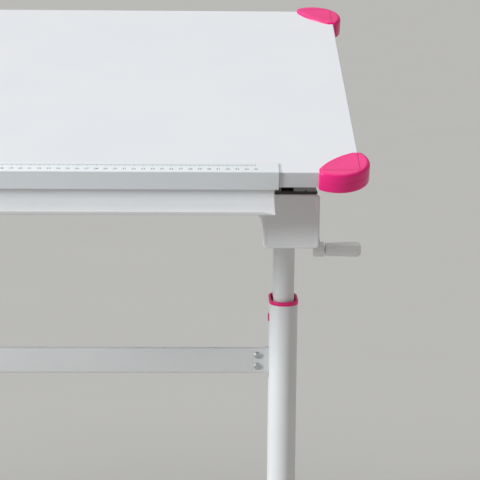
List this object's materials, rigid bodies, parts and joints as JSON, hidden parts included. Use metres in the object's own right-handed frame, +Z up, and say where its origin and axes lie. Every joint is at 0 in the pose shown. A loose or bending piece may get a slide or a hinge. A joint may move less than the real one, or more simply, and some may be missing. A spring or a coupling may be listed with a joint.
{
  "type": "height-adjustable drawing desk",
  "caption": "Drawing desk with a tilting white top, edge ruler, pen tray and corner pads, raised on two telescopic legs by a side crank.",
  "frame": {"origin": "on the floor, at the middle of the desk's width and in line with its two legs", "axes": "+X to the user's right, +Y away from the user, +Z up"},
  "size_m": [0.6994, 0.53, 0.7568],
  "materials": {
    "laminate": "white melamine laminate with a fine even texture",
    "white_steel": "white powder coat, satin, with a very fine orange peel",
    "pink_plastic": "satin moulded hot-pink plastic",
    "white_plastic": "satin moulded white plastic",
    "ruler_white": "satin coated aluminium extrusion with printed centimetre marks",
    "zinc": "bright zinc-plated steel",
    "black_plastic": "black moulded plastic",
    "black_steel": "black gloss-coated sheet steel",
    "rubber": "matt black rubber"
  },
  "bodies": {
    "base": {"foot_left": "white_steel", "foot_right": "white_steel", "foot_end_caps": "pink_plastic", "floor_glides": "rubber", "foot_plates": "white_steel", "foot_bolts": "zinc", "leg_tube_left": "white_steel", "leg_tube_right": "white_steel", "leg_collar_left": "pink_plastic", "leg_collar_right": "pink_plastic", "stretcher_beam": "white_steel", "stretcher_brackets": "zinc", "stretcher_bolts": "zinc", "nut_tubes": "zinc", "screw_nuts": "black_plastic"},
    "upper_frame": {"inner_tube_left": "white_steel", "inner_tube_right": "white_steel", "inner_tube_glides": "black_plastic", "leg_head_left": "white_steel", "leg_head_right": "white_steel", "head_plate_left": "black_steel", "head_plate_right": "black_steel", "head_sockets": "white_steel", "cross_beam": "white_steel", "cross_beam_bolts": "zinc", "hinge_blocks": "black_plastic", "hinge_pins": "zinc", "stay_brackets": "zinc", "stay_pins": "zinc", "tilt_buffers": "rubber", "shaft_bushes": "white_plastic", "screw_bearings": "black_plastic"},
    "drive": {"cross_shaft": "zinc", "shaft_gears": "zinc", "crank_arm": "white_plastic", "crank_pin": "zinc"},
    "grip": {"crank_grip": "white_plastic"},
    "screw_left": {"lead_screw_left": "zinc", "screw_gear_left": "zinc"},
    "screw_right": {"lead_screw_right": "zinc", "screw_gear_right": "zinc"},
    "stay_left": {"stay_left": "zinc", "stay_roller_left": "black_plastic"},
    "stay_right": {"stay_right": "zinc", "stay_roller_right": "black_plastic"},
    "top": {"board": "laminate", "corner_pad_front_left": "pink_plastic", "corner_pad_front_right": "pink_plastic", "corner_pad_back_left": "pink_plastic", "corner_pad_back_right": "pink_plastic", "ruler": "ruler_white", "pen_tray": "white_steel", "tilt_rail_left": "white_steel", "tilt_rail_right": "white_steel", "rail_screws": "zinc", "tray_screws": "zinc"}
  },
  "joints": [
    {"name": "height", "type": "slide", "parent": "base", "child": "upper_frame", "axis": [0, 0, 1], "range_m": [-0.07, 0.16]},
    {"name": "tilt", "type": "hinge", "parent": "upper_frame", "child": "top", "pos_m": [0, -0.158, 0.586], "axis": [1, 0, 0], "range_deg": [-19, 21]},
    {"name": "stay_left_turn", "type": "hinge", "parent": "upper_frame", "child": "stay_left", "pos_m": [-0.265, -0.008, 0.586], "axis": [1, 0, 0], "range_deg": [-38, 42]},
    {"name": "stay_right_turn", "type": "hinge", "parent": "upper_frame", "child": "stay_right", "pos_m": [0.265, -0.008, 0.586], "axis": [1, 0, 0], "range_deg": [-38, 42]},
    {"name": "crank_turn", "type": "hinge", "parent": "upper_frame", "child": "drive", "pos_m": [0.265, 0, 0.521], "axis": [1, 0, 0], "range_deg": [-2520, 5760]},
    {"name": "screw_left_turn", "type": "hinge", "parent": "upper_frame", "child": "screw_left", "pos_m": [-0.265, 0, 0.4], "axis": [0, 0, 1], "range_deg": [-5760, 2520]},
    {"name": "screw_right_turn", "type": "hinge", "parent": "upper_frame", "child": "screw_right", "pos_m": [0.265, 0, 0.4], "axis": [0, 0, 1], "range_deg": [-2520, 5760]},
    {"name": "grip_spin", "type": "hinge", "parent": "drive", "child": "grip", "pos_m": [0.325, -0.05496, 0.48393], "axis": [1, 0, 0], "continuous": true}
  ],
  "couplings": [
    {"joint": "crank_turn", "follows": "height", "rad_per_m": 628.32},
    {"joint": "screw_right_turn", "follows": "height", "rad_per_m": 628.32},
    {"joint": "screw_left_turn", "follows": "height", "rad_per_m": -628.32},
    {"joint": "stay_left_turn", "follows": "tilt", "ratio": 2},
    {"joint": "stay_right_turn", "follows": "tilt", "ratio": 2}
  ]
}
